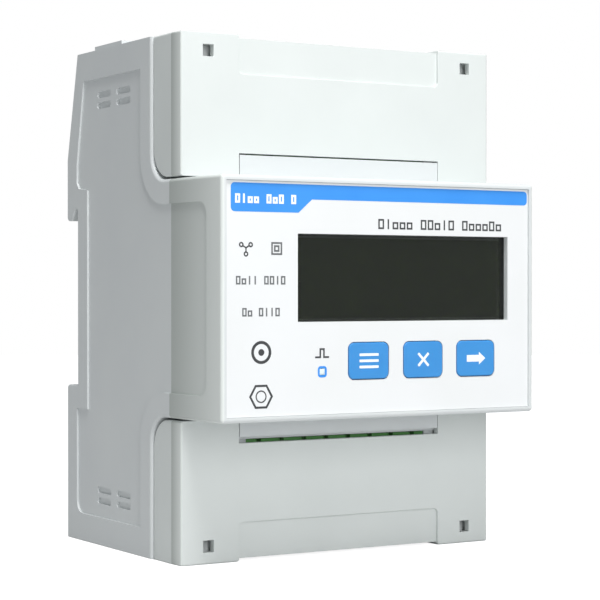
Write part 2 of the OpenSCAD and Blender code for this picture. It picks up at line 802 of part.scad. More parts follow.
module varistor(i) {
    x = 12 * (i - 1);
    z = case_h - 20;
    r = 5.2;
    t = 4.4;
    color("royalblue") union() {
        translate([x - t / 2, main_board_y1 + r + 1.5, z]) rotate([0, 90, 0]) cylinder(r = r, h = t);
        for (side = [-1, 1])
            slab(0.7, 0.7, main_board_y1, main_board_y1 + r, x + side, z + side * 2.5);
    }
}

module varistor_1() { varistor(0); }
module varistor_2() { varistor(1); }
module varistor_3() { varistor(2); }

// ---------- Terminals, drawn for the lower bay ----------

function block_width(poles, pitch) = poles * pitch + 2 * block_end;

module each_pole(poles, pitch) {
    for (i = [0 : poles - 1]) translate([(i - (poles - 1) / 2) * pitch, 0, 0]) children();
}

module tail_holes(poles, pitch) {
    each_pole(poles, pitch)
        slab(1.2, tail_t + 0.2, main_board_y0 - cut, main_board_y1 + cut, z = tail_z);
}

module terminal_block(poles, pitch) {
    chamber_z0 = screw_z - clamp[2] / 2 - 0.3;
    chamber_z1 = tail_z + tail_t / 2 + 0.2;
    wire_y0 = clamp_y0 + clamp_roof + 0.2;
    wire_y1 = clamp_y1 - clamp_wall - 0.1;
    color("green") difference() {
        slab(block_width(poles, pitch), block_h, block_front_y, main_board_y0,
            z = (block_z0 + block_z1) / 2);
        each_pole(poles, pitch) {
            rod(1.9, block_front_y - cut, clamp_y0, z = screw_z, fn = 32);
            slab(clamp[0] + 0.3, chamber_z1 - chamber_z0, clamp_y0 - 0.15, clamp_y1 + 0.15,
                z = (chamber_z0 + chamber_z1) / 2);
            slab(3.1, chamber_z0 - block_z0 + 2 * cut, wire_y0, wire_y1,
                z = (block_z0 + chamber_z0) / 2);
            slab(1.4, tail_t + 0.3, clamp_y1, main_board_y0 + cut, z = tail_z);
            slab(1.2, 1.6, block_front_y - cut, block_front_y + 1.4, z = block_z1);
        }
    }
}

module terminal_screws(poles, pitch) {
    color("silver") each_pole(poles, pitch) difference() {
        union() {
            rod(1.75, block_front_y + 0.5, clamp_y0 - 0.2, z = screw_z, fn = 32);
            rod(1.25, clamp_y0 - 0.2 - eps, clamp_y0 + clamp_roof + 1.2, z = screw_z, fn = 32);
        }
        slab(3.6, 0.5, block_front_y, block_front_y + 1.2, z = screw_z);
    }
}

module terminal_clamps(poles, pitch) {
    color("goldenrod") each_pole(poles, pitch) difference() {
        slab(clamp[0], clamp[2], clamp_y0, clamp_y1, z = screw_z);
        slab(clamp[0] - 2 * clamp_wall, clamp[2] + cut, clamp_y0 + clamp_roof,
            clamp_y1 - clamp_wall, z = screw_z);
        rod(1.3, clamp_y0 - cut, clamp_y0 + clamp_roof + eps, z = screw_z, fn = 32);
    }
}

module terminal_contacts(poles, pitch) {
    plate_z0 = screw_z - clamp[2] / 2 + 0.4;
    plate_z1 = tail_z + tail_t / 2;
    color("goldenrod") each_pole(poles, pitch) union() {
        slab(2.2, plate_z1 - plate_z0, tail_y0, tail_y0 + tail_t, z = (plate_z0 + plate_z1) / 2);
        slab(1, tail_t, tail_y0, main_board_y1 + 1, z = tail_z);
    }
}

module lower_terminal_block() { terminal_block(lower_poles, lower_pitch); }
module lower_terminal_screws() { terminal_screws(lower_poles, lower_pitch); }
module lower_terminal_clamps() { terminal_clamps(lower_poles, lower_pitch); }
module lower_terminal_contacts() { terminal_contacts(lower_poles, lower_pitch); }
module upper_terminal_block() { to_upper() terminal_block(upper_poles, upper_pitch); }
module upper_terminal_screws() { to_upper() terminal_screws(upper_poles, upper_pitch); }
module upper_terminal_clamps() { to_upper() terminal_clamps(upper_poles, upper_pitch); }
module upper_terminal_contacts() { to_upper() terminal_contacts(upper_poles, upper_pitch); }

// ---------- The tree ----------

main_case();
rear_cover();
rear_cover_screws();
rail_clip();
rail_clip_spring();
terminal_cover_upper();
terminal_cover_lower();
face_overlay();
display_window();
lcd_glass();
lcd_holder();
backlight_diffuser();
contact_strips();
display_board();
display_board_screws();
processor_chip();
clock_crystal();
key_set();
key_back();
key_next();
switch_set();
switch_back();
switch_next();
plunger_set();
plunger_back();
plunger_next();
pulse_led();
pulse_light_pipe();
link_header();
link_pins();
link_socket();
main_board();
main_board_screws();
metering_chip();
bus_chip();
transformer_core();
transformer_coil();
filter_capacitors();
sense_transformer_1();
sense_transformer_2();
sense_transformer_3();
varistor_1();
varistor_2();
varistor_3();
upper_terminal_block();
upper_terminal_screws();
upper_terminal_clamps();
upper_terminal_contacts();
lower_terminal_block();
lower_terminal_screws();
lower_terminal_clamps();
lower_terminal_contacts();
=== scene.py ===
import json
import math
import random

import bpy
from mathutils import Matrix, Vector

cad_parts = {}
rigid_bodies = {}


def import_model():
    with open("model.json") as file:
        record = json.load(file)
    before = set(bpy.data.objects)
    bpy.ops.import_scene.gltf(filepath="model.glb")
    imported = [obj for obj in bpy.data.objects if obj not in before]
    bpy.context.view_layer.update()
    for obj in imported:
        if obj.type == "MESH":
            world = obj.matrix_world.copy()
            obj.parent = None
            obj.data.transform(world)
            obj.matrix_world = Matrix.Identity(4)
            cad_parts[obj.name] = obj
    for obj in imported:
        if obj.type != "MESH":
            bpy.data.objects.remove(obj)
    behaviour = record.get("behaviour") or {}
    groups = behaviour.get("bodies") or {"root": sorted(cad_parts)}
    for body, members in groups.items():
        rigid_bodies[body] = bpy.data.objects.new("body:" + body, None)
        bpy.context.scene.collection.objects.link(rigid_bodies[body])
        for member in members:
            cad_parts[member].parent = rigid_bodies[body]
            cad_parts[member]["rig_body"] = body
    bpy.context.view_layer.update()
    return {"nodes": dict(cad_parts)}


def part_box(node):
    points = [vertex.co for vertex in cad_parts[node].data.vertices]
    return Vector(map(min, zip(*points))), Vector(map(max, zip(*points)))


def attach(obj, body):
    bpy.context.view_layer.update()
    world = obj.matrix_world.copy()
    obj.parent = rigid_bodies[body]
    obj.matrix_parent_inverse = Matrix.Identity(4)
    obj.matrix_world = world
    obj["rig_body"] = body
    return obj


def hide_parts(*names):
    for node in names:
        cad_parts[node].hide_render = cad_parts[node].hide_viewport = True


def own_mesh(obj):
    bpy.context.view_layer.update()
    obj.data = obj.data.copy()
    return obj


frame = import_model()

mm = 0.001
nodes = frame["nodes"]
bodyOf = {node: obj["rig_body"] for node, obj in nodes.items()}


def linear(hexColour):
    # sRGB hex to linear RGBA
    parts = [int(hexColour[i:i + 2], 16) / 255 for i in (1, 3, 5)]
    return tuple(c / 12.92 if c <= 0.04045 else ((c + 0.055) / 1.055) ** 2.4 for c in parts) + (1.0,)


def only(obj):
    # leaves just this object selected and active
    bpy.ops.object.select_all(action="DESELECT")
    obj.select_set(True)
    bpy.context.view_layer.objects.active = obj


def applyModifiers(obj):
    only(obj)
    for modifier in list(obj.modifiers):
        bpy.ops.object.modifier_apply(modifier=modifier.name)


def selectFaces(obj, test):
    # opens the mesh for editing with just the faces that pass the test on centre and normal
    only(obj)
    bpy.ops.object.mode_set(mode="EDIT")
    bpy.ops.mesh.select_mode(type="FACE")
    bpy.ops.mesh.select_all(action="DESELECT")
    bpy.ops.object.mode_set(mode="OBJECT")
    for face in obj.data.polygons:
        face.select = test(face.center, face.normal)
    bpy.ops.object.mode_set(mode="EDIT")


def selectEdges(obj, test):
    # the same for edges, by their middle and direction
    only(obj)
    bpy.ops.object.mode_set(mode="EDIT")
    bpy.ops.mesh.select_mode(type="EDGE")
    bpy.ops.mesh.select_all(action="DESELECT")
    bpy.ops.object.mode_set(mode="OBJECT")
    points = obj.data.vertices
    for edge in obj.data.edges:
        a, b = (points[i].co for i in edge.vertices)
        edge.select = test((a + b) / 2, (b - a).normalized())
    bpy.ops.object.mode_set(mode="EDIT")


def leaveEdit():
    bpy.ops.mesh.select_all(action="DESELECT")
    bpy.ops.object.mode_set(mode="OBJECT")


def settle(obj, name, body, material):
    # names the piece, puts its place into its mesh and lets it move with its body
    obj.name = name
    obj.data.name = name
    only(obj)
    bpy.ops.object.transform_apply(location=True, rotation=True, scale=True)
    obj.data.materials.clear()
    obj.data.materials.append(material)
    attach(obj, body)
    return obj


def joined(parts):
    # several finished shapes as one object
    only(parts[0])
    for part in parts:
        part.select_set(True)
    if len(parts) > 1:
        bpy.ops.object.join()
    return parts[0]


print("materials")


def addNode(tree, kind, settings=(), values=(), links=()):
    # one node with its settings, socket values and incoming links
    node = tree.nodes.new(kind)
    for key, value in dict(settings).items():
        setattr(node, key, value)
    for key, value in dict(values).items():
        node.inputs[key].default_value = value
    for key, source in dict(links).items():
        tree.links.new(source, node.inputs[key])
    return node


noiseSpan = {"From Min": 0.3, "From Max": 0.7}  # where nearly all of a noise texture's values lie
tintA, tintB, tintOut = 6, 7, 2  # the colour sockets of a Mix node, by index as their names repeat


def surface(name, look):
    # a finish with a slow drift between two near colours and a fine grain, which is felt as bump and seen in
    # the gloss
    material = bpy.data.materials.new(name)
    material.use_nodes = True
    tree = material.node_tree
    shader = tree.nodes["Principled BSDF"]
    for socket, value in look.get("sockets", {}).items():
        shader.inputs[socket].default_value = value
    coords = addNode(tree, "ShaderNodeTexCoord")
    place = addNode(tree, "ShaderNodeMapping", values={"Scale": look.get("stretch", (1, 1, 1))},
                    links={"Vector": coords.outputs["Object"]}).outputs["Vector"]
    drift = addNode(tree, "ShaderNodeTexNoise", values={"Scale": 1 / look.get("drift", 18 * mm), "Detail": 3},
                    links={"Vector": place})
    share = addNode(tree, "ShaderNodeMapRange", values=noiseSpan, links={"Value": drift.outputs["Fac"]})
    first, second = look["colours"]
    tint = addNode(tree, "ShaderNodeMix", {"data_type": "RGBA"},
                   {tintA: linear(first), tintB: linear(second)}, {0: share.outputs["Result"]})
    tree.links.new(tint.outputs[tintOut], shader.inputs["Base Color"])
    grain = addNode(tree, "ShaderNodeTexNoise",
                    values={"Scale": 1 / look["grain"], "Detail": 4, "Roughness": 0.6},
                    links={"Vector": place})
    bump = addNode(tree, "ShaderNodeBump", values={"Distance": look["depth"]},
                   links={"Height": grain.outputs["Fac"]})
    tree.links.new(bump.outputs["Normal"], shader.inputs["Normal"])
    low, high = look["roughness"]
    gloss = addNode(tree, "ShaderNodeMapRange", values={"To Min": low, "To Max": high},
                    links={"Value": grain.outputs["Fac"]})
    tree.links.new(gloss.outputs["Result"], shader.inputs["Roughness"])
    return material, tree, shader, place, tint, bump


def finish(name, **look):
    return surface(name, look)[0]


paintedDraftShade = {"start": -13.75 * mm, "paintedDark": "#b4bab6", "paintedLight": "#e6ebe8"}  # start is the y where the sides change and their painted shade begins; the two colours are painted shade, darker at start and lighter at the front


def withPaintedDraftShade(name, lean, outside, front, **look):
    # a moulded finish with painted shade on its sides: painted darker where they start to draft, and painted
    # lighter towards the front: lean is the draft's slope, outside how far the skin lies from the middle,
    # front where it ends
    material, tree, shader, place, tint, bump = surface(name, look)
    split = addNode(tree, "ShaderNodeSeparateXYZ", links={"Vector": place})
    far = addNode(tree, "ShaderNodeMath", {"operation": "ABSOLUTE"}, links={0: split.outputs["X"]})
    skin = addNode(tree, "ShaderNodeMath", {"operation": "MULTIPLY_ADD"}, {1: -lean},
                   {0: split.outputs["Y"], 2: far.outputs[0]})
    side = addNode(tree, "ShaderNodeMath", {"operation": "GREATER_THAN"}, {1: outside}, {0: skin.outputs[0]})
    ahead = addNode(tree, "ShaderNodeMath", {"operation": "LESS_THAN"}, {1: paintedDraftShade["start"]},
                    {0: split.outputs["Y"]})
    # the mask of the drafted side strips that get the painted shade
    paintedShadeMask = addNode(tree, "ShaderNodeMath", {"operation": "MULTIPLY"},
                   links={0: side.outputs[0], 1: ahead.outputs[0]})
    fade = addNode(tree, "ShaderNodeMapRange", values={"From Min": front, "From Max": paintedDraftShade["start"]},
                   links={"Value": split.outputs["Y"]})
    # painted shade: darker at the draft line, painted lighter towards the front
    paintedShade = addNode(tree, "ShaderNodeMix", {"data_type": "RGBA"},
                    {tintA: linear(paintedDraftShade["paintedLight"]), tintB: linear(paintedDraftShade["paintedDark"])}, {0: fade.outputs["Result"]})
    blend = addNode(tree, "ShaderNodeMix", {"data_type": "RGBA"},
                    links={0: paintedShadeMask.outputs[0], tintA: tint.outputs[tintOut], tintB: paintedShade.outputs[tintOut]})
    tree.links.new(blend.outputs[tintOut], shader.inputs["Base Color"])
    return material


# injection-moulded polycarbonate in a spark-eroded tool: an even matt skin with a faint sparkle of grain, and
# painted shade on its drafted sides
casePlastic = withPaintedDraftShade("spark eroded polycarbonate case with painted draft shade", lean=0.0421, outside=36.08 * mm, front=-32.6 * mm,
                      colours=("#d6dadb", "#dadede"), grain=0.4 * mm, depth=0.006 * mm, roughness=(0.4, 0.56),
                      sockets={"IOR": 1.58})
# the same plastic from a newer, slightly smoother tool, a touch lighter, with the same painted shade on its
# drafted sides
coverPlastic = withPaintedDraftShade("spark eroded polycarbonate cover with painted draft shade", lean=0.0694, outside=36.4 * mm, front=-17.2 * mm,
                       colours=("#d9dedc", "#dde2e0"), grain=0.35 * mm, depth=0.005 * mm,
                       roughness=(0.38, 0.52), sockets={"IOR": 1.58})
# moulded acetal: a waxy dark grey that shines a little where it slides
clipPlastic = finish("moulded acetal", colours=("#3a3d40", "#43474a"), grain=0.5 * mm, depth=0.004 * mm,
                     roughness=(0.3, 0.42), sockets={"IOR": 1.48})
# screen-printed polycarbonate film with a fine velvet face: bright white, very even, softly matt
filmPlastic = finish("velvet polycarbonate film", colours=("#e8eaea", "#ebedee"), grain=0.2 * mm,
                     depth=0.0015 * mm, roughness=(0.42, 0.52), sockets={"IOR": 1.58})
# screen ink lies on the film as a dull layer a few hundredths of a millimetre thick
darkInk = finish("dark grey screen ink", colours=("#3b3d3f", "#454749"), grain=0.15 * mm, depth=0.003 * mm,
                 roughness=(0.5, 0.62), drift=4 * mm, sockets={"IOR": 1.48})
greyInk = finish("mid grey screen ink", colours=("#66696b", "#6f7274"), grain=0.15 * mm, depth=0.003 * mm,
                 roughness=(0.5, 0.62), drift=4 * mm, sockets={"IOR": 1.48})
blueInk = finish("blue screen ink", colours=("#3992eb", "#3e97ee"), grain=0.15 * mm, depth=0.003 * mm,
                 roughness=(0.46, 0.58), drift=9 * mm, sockets={"IOR": 1.48})
whiteInk = finish("white screen ink", colours=("#f2f7fa", "#f8fbfd"), grain=0.15 * mm, depth=0.003 * mm,
                  roughness=(0.46, 0.58), drift=4 * mm, sockets={"IOR": 1.48})
# moulded silicone keys with a coated face: saturated blue, softly matt, a little light enters the surface
keySilicone = finish("coated silicone keys", colours=("#3f91d6", "#4395da"), grain=0.3 * mm, depth=0.003 * mm,
                     roughness=(0.4, 0.5), drift=6 * mm,
                     sockets={"IOR": 1.41, "Subsurface Weight": 0.08, "Subsurface Scale": 0.3 * mm})
# hard-coated acrylic: polished, almost free of haze, with a low-reflection coat
windowAcrylic = finish("hard coated acrylic window", colours=("#e9ece8", "#eef0ec"), grain=1.5 * mm,
                       depth=0.0004 * mm, roughness=(0.03, 0.06),
                       sockets={"IOR": 1.49, "Transmission Weight": 1.0, "Specular IOR Level": 0.1})
# unpowered liquid crystal glass over its polariser: near black with a green cast
lcdGlass = finish("liquid crystal glass", colours=("#1b230a", "#1f280d"), grain=2 * mm, depth=0.0005 * mm,
                  roughness=(0.22, 0.3), drift=14 * mm, sockets={"IOR": 1.52, "Specular IOR Level": 0.1})
# the black frame that hides the cell's edge and also paints the shade in the gap between window and cell:
# dense and flat
borderInkAndPaintedShade = finish("black border ink and painted gap shade", colours=("#0c0e0d", "#121413"), grain=0.2 * mm, depth=0.001 * mm,
                 roughness=(0.4, 0.5), sockets={"IOR": 1.5, "Specular IOR Level": 0.2})
# a thin paler line inside the border: a painted highlight of the cell's glass edge
paintedEdgeHighlight = finish("painted glass edge highlight", colours=("#343a30", "#393f34"), grain=0.2 * mm, depth=0.001 * mm,
                   roughness=(0.3, 0.4), drift=6 * mm, sockets={"IOR": 1.55, "Specular IOR Level": 0.3})
# moulded styrene: opaque white, so that it throws the light of the display back
whitePlastic = finish("moulded white styrene", colours=("#eceeed", "#f1f3f2"), grain=0.5 * mm,
                      depth=0.004 * mm, roughness=(0.35, 0.5), sockets={"IOR": 1.57})
# filled epoxy pressed round a chip: dull black with a sandy skin
blackPlastic = finish("moulded black epoxy", colours=("#1b1c1e", "#222426"), grain=0.12 * mm,
                      depth=0.004 * mm, roughness=(0.5, 0.68), sockets={"IOR": 1.55})
# unfilled nylon: a slightly waxy tan
plungerPlastic = finish("moulded tan nylon", colours=("#b48a5c", "#bd9365"), grain=0.3 * mm, depth=0.003 * mm,
                        roughness=(0.35, 0.5), sockets={"IOR": 1.53})
# glass-filled nylon: glossy skin with the faint streaks that the short fibres leave
terminalNylon = finish("glass filled green nylon", colours=("#4f9147", "#5b9d51"), grain=0.35 * mm,
                       depth=0.008 * mm, roughness=(0.32, 0.52), drift=5 * mm, stretch=(1, 1, 0.35),
                       sockets={"IOR": 1.53})
# clear polycarbonate with a blasted end: milky, with the light spread over it
lightPipe = finish("frosted light pipe", colours=("#e9f8fc", "#f1fbfd"), grain=0.6 * mm, depth=0.001 * mm,
                   roughness=(0.3, 0.4), drift=2 * mm, sockets={"IOR": 1.58, "Transmission Weight": 0.08})
# diffused epoxy of the diode: cloudy, almost white when off
ledBody = finish("moulded diode body", colours=("#f1e7e2", "#f6ece8"), grain=0.2 * mm, depth=0.002 * mm,
                 roughness=(0.3, 0.4))
# bright zinc over rolled steel: soft blue-grey metal with a fine spangle
zincSteel = finish("bright zinc plated steel", colours=("#b3b7bb", "#c6c9cc"), grain=0.18 * mm,
                   depth=0.004 * mm, roughness=(0.24, 0.42), drift=2 * mm, sockets={"Metallic": 1.0})
# cold-drawn wire: bright, with an even gloss and a very fine grain
springWire = finish("drawn spring wire", colours=("#9b9fa3", "#b4b8bb"), grain=0.1 * mm, depth=0.003 * mm,
                    roughness=(0.2, 0.32), drift=1 * mm, sockets={"Metallic": 1.0})
# a can drawn from nickel-plated strip: bright, with faint lines along the draw
canNickel = finish("drawn nickel can", colours=("#c3c1ba", "#cecdc7"), grain=0.25 * mm, depth=0.003 * mm,
                   roughness=(0.18, 0.3), drift=3 * mm, stretch=(0.2, 1, 1), sockets={"Metallic": 1.0})
# stamped from rolled strip: warm metal with a fine, uneven gloss
brass = finish("pressed brass", colours=("#c2a05a", "#cfae68"), grain=0.2 * mm, depth=0.004 * mm,
               roughness=(0.22, 0.4), drift=2 * mm, sockets={"Metallic": 1.0})
# a gold flash over nickel: smooth and bright
gold = finish("gold flashed pins", colours=("#d9b256", "#e2bd63"), grain=0.15 * mm, depth=0.002 * mm,
              roughness=(0.18, 0.28), drift=1 * mm, sockets={"Metallic": 1.0})
# moulded nylon box filled with resin: dark blue, fairly even
potBlue = finish("blue potted housing", colours=("#1d2f66", "#23386f"), grain=0.4 * mm, depth=0.004 * mm,
                 roughness=(0.28, 0.42), sockets={"IOR": 1.55})
# dipped epoxy flows over the disc, so its skin is glossy and gently uneven
dippedBlue = finish("dipped blue epoxy", colours=("#2c58a8", "#3160b2"), grain=1.6 * mm, depth=0.05 * mm,
                    roughness=(0.16, 0.26), drift=3 * mm, sockets={"IOR": 1.55})
# a vinyl tube shrunk over the can: thin, tight and glossy
sleeve = finish("shrunk vinyl sleeve", colours=("#141c33", "#1a2340"), grain=0.8 * mm, depth=0.01 * mm,
                roughness=(0.2, 0.34), sockets={"IOR": 1.54})


def striped(name, look, colour, pitch, line, axis):
    # a finish with parallel lines of another colour, as layers, turns or strips leave them: line is the share
    # of the pitch that a line takes, and blur the softness of its edges
    blur = 0.05
    material, tree, shader, place, tint, bump = surface(name, look)
    split = addNode(tree, "ShaderNodeSeparateXYZ", links={"Vector": place})
    turns = addNode(tree, "ShaderNodeMath", {"operation": "MULTIPLY"}, {1: 1 / pitch},
                    {0: split.outputs[axis]})
    saw = addNode(tree, "ShaderNodeMath", {"operation": "FRACT"}, links={0: turns.outputs[0]})
    ridge = addNode(tree, "ShaderNodeMath", {"operation": "PINGPONG"}, {1: 0.5}, {0: saw.outputs[0]})
    mask = addNode(tree, "ShaderNodeMapRange",
                   values={"From Min": line / 2 - blur, "From Max": line / 2 + blur},
                   links={"Value": ridge.outputs[0]})
    blend = addNode(tree, "ShaderNodeMix", {"data_type": "RGBA"}, {tintA: linear(colour)},
                    {0: mask.outputs["Result"], tintB: tint.outputs[tintOut]})
    tree.links.new(blend.outputs[tintOut], shader.inputs["Base Color"])
    relief = addNode(tree, "ShaderNodeBump", values={"Distance": look["depth"] * 4},
                     links={"Height": ridge.outputs[0], "Normal": bump.outputs["Normal"]})
    tree.links.new(relief.outputs["Normal"], shader.inputs["Normal"])
    return material


# stacked 0.5 mm laminations, varnished: dark edges between grey iron sheets
coreIron = striped("varnished laminations", {"colours": ("#4a4a4b", "#565656"), "grain": 0.2 * mm,
                   "depth": 0.006 * mm, "roughness": (0.35, 0.5), "sockets": {"Metallic": 0.7}},
                   colour="#252526", pitch=0.5 * mm, line=0.3, axis="Y")
# layers of 0.25 mm enamelled copper wire, wound up the bobbin
coilWire = striped("wound enamelled wire", {"colours": ("#b0652f", "#bd7238"), "grain": 0.1 * mm,
                   "depth": 0.01 * mm, "roughness": (0.2, 0.32), "sockets": {"Metallic": 0.8}},
                   colour="#5d2f14", pitch=0.25 * mm, line=0.3, axis="Y")
# zebra strip: carbon-loaded and clear silicone in turn, drawn at 0.4 mm, as the real 0.1 mm would not show
zebraSilicone = striped("layered contact silicone", {"colours": ("#c9cdd0", "#d2d5d8"), "grain": 0.2 * mm,
                        "depth": 0.002 * mm, "roughness": (0.45, 0.6), "sockets": {"IOR": 1.41}},
                        colour="#1c1d1e", pitch=0.4 * mm, line=0.5, axis="X")

tracking = {"cell": 5.08 * mm, "pitch": 0.12, "edge": (0.055, 0.075), "colour": "#3c9159",
            "raised": 0.03 * mm}


def boardLaminate():
    # green solder mask over etched copper: the tracks show as raised, paler lines about 1.2 mm apart
    look = {"colours": ("#1f6a3c", "#247244"), "grain": 0.3 * mm, "depth": 0.004 * mm,
            "roughness": (0.25, 0.38), "sockets": {"IOR": 1.5}}
    material, tree, shader, place, tint, bump = surface("solder masked laminate", look)
    tracks = addNode(tree, "ShaderNodeTexVoronoi", {"distance": "MANHATTAN", "feature": "F2"},
                     {"Scale": 1 / tracking["cell"]}, {"Vector": place})
    lines = addNode(tree, "ShaderNodeMath", {"operation": "PINGPONG"}, {1: tracking["pitch"]},
                    {0: tracks.outputs["Distance"]})
    low, high = tracking["edge"]
    mask = addNode(tree, "ShaderNodeMapRange", values={"From Min": low, "From Max": high},
                   links={"Value": lines.outputs[0]})
    blend = addNode(tree, "ShaderNodeMix", {"data_type": "RGBA"}, {tintB: linear(tracking["colour"])},
                    {0: mask.outputs["Result"], tintA: tint.outputs[tintOut]})
    tree.links.new(blend.outputs[tintOut], shader.inputs["Base Color"])
    relief = addNode(tree, "ShaderNodeBump", values={"Distance": tracking["raised"]},
                     links={"Height": mask.outputs["Result"], "Normal": bump.outputs["Normal"]})
    tree.links.new(relief.outputs["Normal"], shader.inputs["Normal"])
    return material


circuitBoard = boardLaminate()

print("CAD nodes that keep their shape")

nodeFinish = {
    "rear_cover_screws": zincSteel, "rail_clip_spring": springWire, "face_overlay": filmPlastic,
    "lcd_glass": lcdGlass, "lcd_holder": whitePlastic, "backlight_diffuser": whitePlastic,
    "contact_strips": zebraSilicone, "display_board": circuitBoard, "display_board_screws": zincSteel,
    "processor_chip": blackPlastic, "clock_crystal": canNickel, "pulse_led": ledBody,
    "link_header": blackPlastic, "link_pins": gold, "link_socket": blackPlastic, "main_board": circuitBoard,
    "main_board_screws": zincSteel, "metering_chip": blackPlastic, "bus_chip": blackPlastic,
    "transformer_core": coreIron, "transformer_coil": coilWire, "filter_capacitors": sleeve,
    "upper_terminal_screws": zincSteel, "lower_terminal_screws": zincSteel,
    "upper_terminal_clamps": brass, "lower_terminal_clamps": brass,
    "upper_terminal_contacts": brass, "lower_terminal_contacts": brass}
nodeFinish.update({f"sense_transformer_{i}": potBlue for i in (1, 2, 3)})
nodeFinish.update({f"varistor_{i}": dippedBlue for i in (1, 2, 3)})
nodeFinish.update({f"switch_{key}": blackPlastic for key in ("set", "back", "next")})
nodeFinish.update({f"plunger_{key}": plungerPlastic for key in ("set", "back", "next")})
for node, material in nodeFinish.items():
    nodes[node].data.materials.clear()
    nodes[node].data.materials.append(material)

print("shells")


def reach(mesh, face):
    # how far a face reaches across the case
    across = [mesh.vertices[i].co.x for i in face.vertices]
    return max(across) - min(across)


def softenEdges(piece, weight, test):
    # gives a bevel weight to the sharp edges that pass the test on their middle and the two faces beside
    # them: sharp is the cosine of the turn past which an edge counts
    sharp = 0.8
    only(piece)
    bpy.ops.object.mode_set(mode="EDIT")
    bpy.ops.mesh.select_mode(type="EDGE")
    bpy.ops.mesh.select_all(action="DESELECT")
    bpy.ops.object.mode_set(mode="OBJECT")
    mesh = piece.data
    beside = {}
    for face in mesh.polygons:
        for key in face.edge_keys:
            beside.setdefault(key, []).append(face)
    for edge in mesh.edges:
        a, b = (mesh.vertices[i].co for i in edge.vertices)
        faces = beside[edge.key]
        edge.select = (len(faces) == 2 and faces[0].normal.dot(faces[1].normal) < sharp
                       and test((a + b) / 2, mesh, faces))
    bpy.ops.object.mode_set(mode="EDIT")
    bpy.ops.transform.edge_bevelweight(value=weight)
    leaveEdit()


def shellCopy(node, name, material, edges):
    # the CAD shape with its triangles joined into flat faces again and its edges rounded as a mould leaves
    # them: first the soft outer edges, by weight, then a fine radius on every other sharp edge
    piece = nodes[node].copy()
    piece.data = nodes[node].data.copy()
    for key in list(piece.keys()):
        del piece[key]
    piece.parent = None
    bpy.context.scene.collection.objects.link(piece)
    only(piece)
    bpy.ops.object.mode_set(mode="EDIT")
    bpy.ops.mesh.select_all(action="SELECT")
    bpy.ops.mesh.remove_doubles(threshold=0.002 * mm)
    bpy.ops.mesh.dissolve_limited(angle_limit=math.radians(0.5))
    leaveEdit()
    if "soft" in edges:
        for weight, test in edges["where"]:
            softenEdges(piece, weight, test)
        broad = piece.modifiers.new("soft edges", "BEVEL")
        broad.width = edges["soft"]
        broad.segments = 5
        broad.limit_method = "WEIGHT"
    fine = piece.modifiers.new("fine edges", "BEVEL")
    fine.width = edges["fine"]
    fine.segments = edges.get("steps", 3)
    fine.limit_method = "ANGLE"
    fine.angle_limit = math.radians(28)
    applyModifiers(piece)
    bpy.ops.object.shade_smooth_by_angle(angle=math.radians(35))
    piece.modifiers.new("normals", "WEIGHTED_NORMAL").keep_sharp = True
    applyModifiers(piece)
    settle(piece, name, bodyOf[node], material)
    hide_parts(node)
    return piece


caseLow, caseHigh = (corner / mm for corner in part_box("main_case"))
head = {"low": 27.5, "high": 72.5, "seam": -6.15}  # its height, and the y of the seams beside the covers
# how far out a side lies at least, how far a face runs inwards if it's no step, and the low pad on the top
outer = {"side": 35.1, "inwards": 1.2, "pad": 0.8, "slack": 0.05}
caseTop = caseHigh.z - outer["pad"]


def onSide(middle, mesh, faces):
    # between a side face and one that runs well inwards, so not a step of the sunk panel or of a vent slot
    others = [face for face in faces if abs(face.normal.x) < 0.5]
    return (abs(middle.x) / mm > outer["side"] and len(others) == 1
            and reach(mesh, others[0]) > outer["inwards"] * mm)


def onHead(middle, mesh, faces):
    # the outline of the head, its shoulders and the seams
    x, y, z = middle / mm
    slack = outer["slack"]
    beside = abs(x) > outer["side"] or not head["low"] + slack < z < head["high"] - slack
    return (y < caseLow.y + slack and beside) or (y < head["seam"] + slack and onSide(middle, mesh, faces))


def onCaseBack(middle, mesh, faces):
    # the rest of the outline, where the mould is sharper, apart from the narrow margin beside the top pad
    x, y, z = middle / mm
    return z < caseTop - outer["slack"] and y > head["seam"] + outer["slack"] and onSide(middle, mesh, faces)


def onCover(middle, mesh, faces):
    # the outline of a terminal cover: its sides and its outer end
    inside = outer["slack"] < middle.z / mm < caseTop - outer["slack"]
    return onSide(middle, mesh, faces) or not inside


shellCopy("main_case", "case_shell", casePlastic,
          {"fine": 0.08 * mm, "steps": 2, "soft": 0.7 * mm, "where": ((1.0, onHead), (0.4, onCaseBack))})
shellCopy("rear_cover", "rear_cover_shell", casePlastic, {"fine": 0.15 * mm})
for row in ("upper", "lower"):
    shellCopy(f"terminal_cover_{row}", f"{row}_cover_shell", coverPlastic,
              {"fine": 0.08 * mm, "steps": 2, "soft": 0.4 * mm, "where": ((1.0, onCover),)})
shellCopy("rail_clip", "rail_clip_moulding", clipPlastic, {"fine": 0.2 * mm})
shellCopy("display_window", "window_pane", windowAcrylic, {"fine": 0.12 * mm})
shellCopy("pulse_light_pipe", "pulse_lens", lightPipe, {"fine": 0.1 * mm})
for row in ("lower", "upper"):
    shellCopy(f"{row}_terminal_block", f"{row}_block_moulding", terminalNylon,
              {"fine": 0.12 * mm})
for key in ("set", "back", "next"):
    shellCopy(f"key_{key}", f"{key}_key_cap", keySilicone, {"fine": 0.22 * mm, "steps": 4})

print("face print")

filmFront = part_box("face_overlay")[0].y
ink = {"proud": 0.02 * mm, "sunk": 0.02 * mm}
facing = 0.9  # the cosine past which a face or an edge counts as pointing one way


